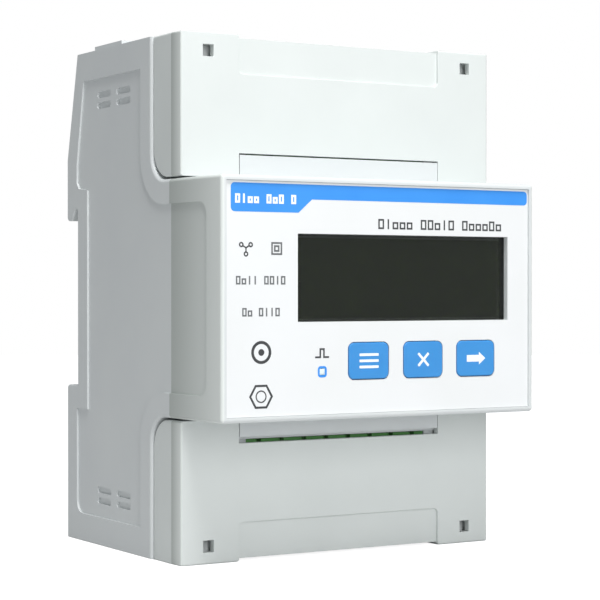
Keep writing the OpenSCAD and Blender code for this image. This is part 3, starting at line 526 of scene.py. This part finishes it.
def plateAt(x0, x1, z0, z1, front, radius=0.0):
    # a thin plate of ink standing on the surface at y = front, with round corners if a radius is given
    bpy.ops.object.select_all(action="DESELECT")
    depth = ink["proud"] + ink["sunk"]
    middle = ((x0 + x1) / 2 * mm, front - ink["proud"] + depth / 2, (z0 + z1) / 2 * mm)
    bpy.ops.mesh.primitive_cube_add(size=1, scale=((x1 - x0) * mm, depth, (z1 - z0) * mm), location=middle)
    plate = bpy.context.object
    bpy.ops.object.transform_apply(location=True, rotation=False, scale=True)
    if radius:
        roundCorners(plate, radius)
    return plate


def roundCorners(plate, radius, test=lambda middle: True):
    selectEdges(plate, lambda middle, way: abs(way.y) > facing and test(middle))
    bpy.ops.mesh.bevel(offset=radius * mm, segments=6, affect="EDGES", clamp_overlap=True)
    leaveEdit()


def discAt(x, z, radius, front, sides=40, turn=0.0):
    # a thin disc, or a polygon of that many sides
    bpy.ops.object.select_all(action="DESELECT")
    depth = ink["proud"] + ink["sunk"]
    bpy.ops.mesh.primitive_cylinder_add(vertices=sides, radius=radius * mm, depth=depth,
                                        location=(x * mm, front - ink["proud"] + depth / 2, z * mm),
                                        rotation=(math.radians(90), turn, 0))
    disc = bpy.context.object
    bpy.ops.object.transform_apply(location=True, rotation=True, scale=True)
    return disc


def hollow(plate, line):
    # leaves only a border of that width
    selectFaces(plate, lambda centre, normal: abs(normal.y) > facing)
    bpy.ops.mesh.inset(thickness=line * mm)
    bpy.ops.mesh.bridge_edge_loops()
    leaveEdit()
    return plate


def grow(plate, test, length):
    # pulls each side face that passes the test straight out on its own
    selectFaces(plate, lambda centre, normal: abs(normal.y) < 1 - facing and test(centre, normal))
    bpy.ops.mesh.extrude_faces_move(TRANSFORM_OT_shrink_fatten={"value": length * mm})
    leaveEdit()
    return plate


def strokeAt(x, z, width, front, legs):
    # a line of right-angled legs, each pulled out of the last corner's square: pairs of way and length
    half = width / 2
    near = width / 10
    stroke = plateAt(x - half, x + half, z - half, z + half, front)
    corner = Vector((x, z))
    for way, length in legs:
        way = Vector(way)
        for pull in (length - width, width):
            edge = corner + way * half
            selectFaces(stroke, lambda centre, normal: normal.x * way.x + normal.z * way.y > facing
                        and (Vector((centre.x, centre.z)) / mm - edge).length < near)
            bpy.ops.mesh.extrude_region_move(TRANSFORM_OT_translate={
                "value": (way.x * pull * mm, 0, way.y * pull * mm)})
            leaveEdit()
            corner = corner + way * pull
    return stroke


def printed(parts, name, material, body="case"):
    return settle(joined(parts), name, body, material)


band = {"left": -33.15, "right": 33.9, "top": 71.05, "bottom": 68.3, "tabBottom": 65.8,
        "tabEnd": -18.9, "slopeEnd": -16.0, "corner": 0.8, "near": 0.1}  # near: how close counts as at an end


def blueBand():
    # the tab first, then its right face pulled up the slope and along to the far end
    plate = plateAt(band["left"], band["tabEnd"], band["tabBottom"], band["top"], filmFront)
    for pull in (band["slopeEnd"] - band["tabEnd"], band["right"] - band["slopeEnd"]):
        selectFaces(plate, lambda centre, normal: normal.x > facing)
        bpy.ops.mesh.extrude_region_move(TRANSFORM_OT_translate={"value": (pull * mm, 0, 0)})
        leaveEdit()
    rise = (band["bottom"] - band["tabBottom"]) * mm
    selectEdges(plate, lambda middle, way: abs(way.y) > facing
                and middle.x / mm > band["slopeEnd"] - band["near"]
                and middle.z / mm < band["tabBottom"] + band["near"])
    bpy.ops.transform.translate(value=(0, 0, rise))
    leaveEdit()
    roundCorners(plate, band["corner"], lambda middle: middle.x / mm < band["left"] + band["near"]
                 or middle.x / mm > band["right"] - band["near"])
    return plate


printed([blueBand()], "blue_band", blueInk)

greek = {"fill": 0.8, "low": 0.72, "bars": 0.15, "seed": 7}
wording = {
    "model_line": {"ink": whiteInk, "left": -32.4, "right": -19.3, "foot": 67.35, "height": 1.7,
                   "letters": (4, 3, 1), "stroke": 0.4, "front": filmFront - ink["proud"]},
    "title_line": {"ink": darkInk, "left": -1.5, "right": 27.7, "foot": 63.1, "height": 1.9,
                   "letters": (5, 5, 6), "stroke": 0.32, "front": filmFront},
    "rating_line_1": {"ink": greyInk, "left": -32.2, "right": -21.6, "foot": 52.6, "height": 1.55,
                      "letters": (4, 4), "stroke": 0.28, "front": filmFront},
    "rating_line_2": {"ink": greyInk, "left": -30.9, "right": -22.8, "foot": 46.8, "height": 1.55,
                      "letters": (2, 4), "stroke": 0.28, "front": filmFront}}


def greekedLine(line):
    # a row of empty boxes and bars that stands in for wording: letters is the count in each word
    letters, height, z, front = line["letters"], line["height"], line["foot"], line["front"]
    draw = random.Random(greek["seed"] + len(letters))
    pitch = (line["right"] - line["left"]) / (sum(letters) + len(letters) - 1)
    wide = pitch * greek["fill"]
    half = line["stroke"] / 2
    parts = []
    cell = 0
    for count in letters:
        for i in range(count):
            left = line["left"] + (cell + i) * pitch + (pitch - wide) / 2
            middle = left + wide / 2
            tall = height if i == 0 else height * draw.choice((greek["low"], greek["low"], 1.0))
            if i > 0 and draw.random() < greek["bars"]:
                parts.append(plateAt(middle - half, middle + half, z, z + height, front))
            else:
                parts.append(hollow(plateAt(left, left + wide, z, z + tall, front), line["stroke"]))
        cell += count + 1
    return parts


for name, line in wording.items():
    printed(greekedLine(line), name, line["ink"])

star = {"x": -30.0, "z": 59.25, "arm": 0.78, "trim": 0.1, "ring": 0.48, "line": 0.26}


def starSymbol():
    # three arms from one point, each with a small ring at its end: a three-phase connection
    hub = discAt(star["x"], star["z"], star["line"] / math.sqrt(3), filmFront, 3)
    grow(hub, lambda centre, normal: True, star["arm"] - star["trim"])
    parts = [hub]
    out = star["arm"] + star["ring"] - star["line"] / 2
    for angle in (30, 150, 270):
        x = star["x"] + out * math.cos(math.radians(angle))
        z = star["z"] + out * math.sin(math.radians(angle))
        parts.append(hollow(discAt(x, z, star["ring"], filmFront, 28), star["line"]))
    return parts


printed(starSymbol(), "star_symbol", darkInk)

double = {"left": -24.7, "right": -22.4, "low": 58.0, "high": 60.35, "line": 0.32, "gap": 0.26}


def squareOutline(inset):
    return hollow(plateAt(double["left"] + inset, double["right"] - inset, double["low"] + inset,
                          double["high"] - inset, filmFront), double["line"])


printed([squareOutline(inset) for inset in (0, double["line"] + double["gap"])], "double_square_symbol",
        greyInk)

# two plain figures fill the places of the marks: a heavy ring with a dot, and a six-sided outline with a ring
ring = {"x": -26.8, "z": 40.25, "radius": 2.1, "line": 0.55, "dot": 0.62}
hexagon = {"x": -26.85, "z": 32.2, "radius": 2.5, "line": 0.4, "ring": 1.15, "ringLine": 0.24}
printed([hollow(discAt(ring["x"], ring["z"], ring["radius"], filmFront, 48), ring["line"]),
         discAt(ring["x"], ring["z"], ring["dot"], filmFront, 32)], "ring_figure", darkInk)
printed([hollow(discAt(hexagon["x"], hexagon["z"], hexagon["radius"], filmFront, 6, math.radians(30)),
                hexagon["line"]),
         hollow(discAt(hexagon["x"], hexagon["z"], hexagon["ring"], filmFront, 40), hexagon["ringLine"])],
        "hexagon_figure", darkInk)

right, up, down = (1, 0), (0, 1), (0, -1)
pulse = {"x": -15.15, "z": 39.15, "line": 0.34, "foot": 0.95, "rise": 1.5, "top": 0.8}
printed([strokeAt(pulse["x"], pulse["z"], pulse["line"], filmFront,
                  ((right, pulse["foot"]), (up, pulse["rise"]), (right, pulse["top"]),
                   (down, pulse["rise"]), (right, pulse["foot"])))], "pulse_symbol", darkInk)

lensLow, lensHigh = (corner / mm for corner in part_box("pulse_light_pipe"))
lens = {"x": (lensLow.x + lensHigh.x) / 2, "z": (lensLow.z + lensHigh.z) / 2, "wide": 0.98, "high": 1.05,
        "corner": 0.6, "line": 0.42}
around = plateAt(lens["x"] - lens["wide"], lens["x"] + lens["wide"], lens["z"] - lens["high"],
                 lens["z"] + lens["high"], filmFront, lens["corner"])
printed([hollow(around, lens["line"])], "pulse_outline", blueInk)

print("key pictograms")

pictogram = {"barWidth": 4.3, "bar": 0.5, "barPitch": 1.15, "cross": 0.5, "crossArm": 1.45,
             "shaft": 2.9, "shaftHigh": 1.3, "headHigh": 2.45, "headLong": 1.45, "flare": 0.01, "tip": 0.05,
             "round": 0.12}
keyCentre = {}
for key in ("set", "back", "next"):
    low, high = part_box(f"key_{key}")
    keyCentre[key] = (low.x / mm + high.x / mm) / 2, (low.z / mm + high.z / mm) / 2, low.y


def menuPictogram(x, z, front):
    # three bars, a menu
    half = pictogram["barWidth"] / 2
    parts = []
    for row in (-1, 0, 1):
        foot = z + row * pictogram["barPitch"] - pictogram["bar"] / 2
        parts.append(plateAt(x - half, x + half, foot, foot + pictogram["bar"], front, pictogram["round"]))
    return parts


def crossPictogram(x, z, front):
    # a square with its four sides pulled out, turned by an eighth
    half = pictogram["cross"] / 2
    cross = grow(plateAt(x - half, x + half, z - half, z + half, front), lambda centre, normal: True,
                 pictogram["crossArm"])
    only(cross)
    bpy.ops.object.mode_set(mode="EDIT")
    bpy.ops.mesh.select_all(action="SELECT")
    bpy.ops.transform.rotate(value=math.radians(45), orient_axis="Y",
                             center_override=(x * mm, front, z * mm))
    leaveEdit()
    centre = Vector((x, z)) * mm
    roundCorners(cross, pictogram["round"], lambda middle: (Vector((middle.x, middle.z)) - centre).length
                 > pictogram["crossArm"] * mm)
    return [cross]


def arrowPictogram(x, z, front):
    # a shaft whose right face is widened, then pulled to a point
    long = pictogram["shaft"] + pictogram["headLong"]
    half = pictogram["shaftHigh"] / 2
    start = x - long / 2
    arrow = plateAt(start, start + pictogram["shaft"], z - half, z + half, front)
    steps = ((pictogram["flare"], pictogram["headHigh"] / pictogram["shaftHigh"]),
             (pictogram["headLong"], pictogram["tip"]))
    for pull, widen in steps:
        selectFaces(arrow, lambda centre, normal: normal.x > facing)
        bpy.ops.mesh.extrude_region_move(TRANSFORM_OT_translate={"value": (pull * mm, 0, 0)})
        bpy.ops.transform.resize(value=(1, 1, widen), center_override=(0, front, z * mm))
        leaveEdit()
    return [arrow]


for key, draw in {"set": menuPictogram, "back": crossPictogram, "next": arrowPictogram}.items():
    printed(draw(*keyCentre[key]), f"{key}_pictogram", whiteInk, bodyOf[f"key_{key}"])

print("display border")

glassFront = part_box("lcd_glass")[0].y
paneLow, paneHigh = (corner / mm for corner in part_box("display_window"))
cell = {"left": 2.05, "right": 1.55, "low": 1.75, "high": 1.85, "edge": 1.2, "highlightLine": 0.35}


def frameOnGlass(grown, line):
    # a flat frame on the display glass round the field that shows, grown outwards by that much: the border,
    # and the painted highlight of the glass edge
    return hollow(plateAt(paneLow.x + cell["left"] - grown, paneHigh.x - cell["right"] + grown,
                          paneLow.z + cell["low"] - grown, paneHigh.z - cell["high"] + grown,
                          glassFront), line)


# black border round the display field: partly print, partly painted shade of the gap between window and cell
printed([frameOnGlass(cell["edge"], cell["edge"])], "display_border_and_painted_shade", borderInkAndPaintedShade)
# a paler ring round the display field: painted highlight of the glass edge
printed([frameOnGlass(0.0, cell["highlightLine"])], "painted_edge_highlight", paintedEdgeHighlight)

print("spring")

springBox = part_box("rail_clip_spring")
spring = {"wire": 0.2 * mm, "radius": 1.1 * mm, "turns": 7, "steps": 28}


def clipSpring():
    # one wire section turned round and up the axis, its two ends closed
    low, high = springBox
    axis = Vector(((low.x + high.x) / 2, (low.y + high.y) / 2, low.z + spring["wire"]))
    bpy.ops.object.select_all(action="DESELECT")
    bpy.ops.mesh.primitive_circle_add(vertices=12, radius=spring["wire"], location=(spring["radius"], 0, 0),
                                      rotation=(math.radians(90), 0, 0))
    coil = bpy.context.object
    bpy.ops.object.transform_apply(location=True, rotation=True, scale=True)
    screw = coil.modifiers.new("turns", "SCREW")
    screw.axis = "Z"
    screw.iterations = spring["turns"]
    screw.screw_offset = (high.z - low.z - 2 * spring["wire"]) / spring["turns"]
    screw.steps = screw.render_steps = spring["steps"]
    screw.use_merge_vertices = False
    applyModifiers(coil)
    bpy.ops.object.mode_set(mode="EDIT")
    bpy.ops.mesh.select_mode(type="EDGE")
    bpy.ops.mesh.select_all(action="DESELECT")
    bpy.ops.mesh.select_non_manifold()
    bpy.ops.mesh.fill()
    bpy.ops.mesh.select_all(action="SELECT")
    bpy.ops.mesh.normals_make_consistent(inside=False)
    leaveEdit()
    bpy.ops.object.shade_smooth_by_angle(angle=math.radians(50))
    coil.location = axis
    settle(coil, "clip_spring", "case", springWire)
    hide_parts("rail_clip_spring")
    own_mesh(coil)
    return coil


clipSpring()

print("stage, light and camera")

sweep = {"radius": 1.1, "colour": "#cecece", "roughness": 0.9, "lift": 0.9}
bpy.ops.object.select_all(action="DESELECT")
bpy.ops.mesh.primitive_circle_add(vertices=96, radius=sweep["radius"], fill_type="NGON")
floor = bpy.context.object
floor.name = "floor"
paper = bpy.data.materials.new("white paper sweep")
paper.use_nodes = True
tree = paper.node_tree
sheet = tree.nodes["Principled BSDF"]
sheet.inputs["Base Color"].default_value = linear(sweep["colour"])
sheet.inputs["Roughness"].default_value = sweep["roughness"]
sheet.inputs["Emission Color"].default_value = (1, 1, 1, 1)
# lifts the paper to white without lighting the object from below
seenDirectly = addNode(tree, "ShaderNodeLightPath")
lift = addNode(tree, "ShaderNodeMath", {"operation": "MULTIPLY"}, {1: sweep["lift"]},
               {0: seenDirectly.outputs["Is Camera Ray"]})
tree.links.new(lift.outputs[0], sheet.inputs["Emission Strength"])
floor.data.materials.append(paper)

studio = {"ambient": 0.33, "ambientColour": "#f4f8fb"}
world = bpy.data.worlds.new("studio")
bpy.context.scene.world = world
world.use_nodes = True
tree = world.node_tree
seen = tree.nodes["Background"]
seen.inputs["Color"].default_value = (1, 1, 1, 1)
dim = addNode(tree, "ShaderNodeBackground", values={"Color": linear(studio["ambientColour"]),
                                                    "Strength": studio["ambient"]})
path = addNode(tree, "ShaderNodeLightPath")
chosen = addNode(tree, "ShaderNodeMixShader",
                 links={0: path.outputs["Is Camera Ray"], 1: dim.outputs["Background"],
                        2: seen.outputs["Background"]})
tree.links.new(chosen.outputs["Shader"], tree.nodes["World Output"].inputs["Surface"])

aim = Vector((0, 0, 0.05))
softboxes = {
    "overhead softbox": {"place": (-0.07, -0.25, 0.60), "size": (0.26, 0.22), "power": 3.3},
    "front softbox": {"place": (-0.12, -0.84, 0.34), "size": (0.3, 0.5), "power": 2.8}}
for name, box in softboxes.items():
    light = bpy.data.lights.new(name, "AREA")
    light.shape = "RECTANGLE"
    light.size, light.size_y = box["size"]
    light.energy = box["power"]
    lamp = bpy.data.objects.new(name, light)
    lamp.location = box["place"]
    lamp.rotation_euler = (aim - lamp.location).to_track_quat("-Z", "Y").to_euler()
    bpy.context.scene.collection.objects.link(lamp)

view = {"lens": 113.6, "sensor": 36, "place": (-0.1985, -0.3306, 0.0519), "tilt": -0.352, "turn": -31.1}
camera = bpy.data.cameras.new("camera")
camera.lens = view["lens"]
camera.sensor_width = view["sensor"]
camera.clip_start = 0.01
cameraObject = bpy.data.objects.new("camera", camera)
cameraObject.location = view["place"]
cameraObject.rotation_euler = (math.radians(90 + view["tilt"]), 0, math.radians(view["turn"]))
bpy.context.scene.collection.objects.link(cameraObject)
bpy.context.scene.camera = cameraObject
bpy.context.scene.view_settings.view_transform = "Standard"
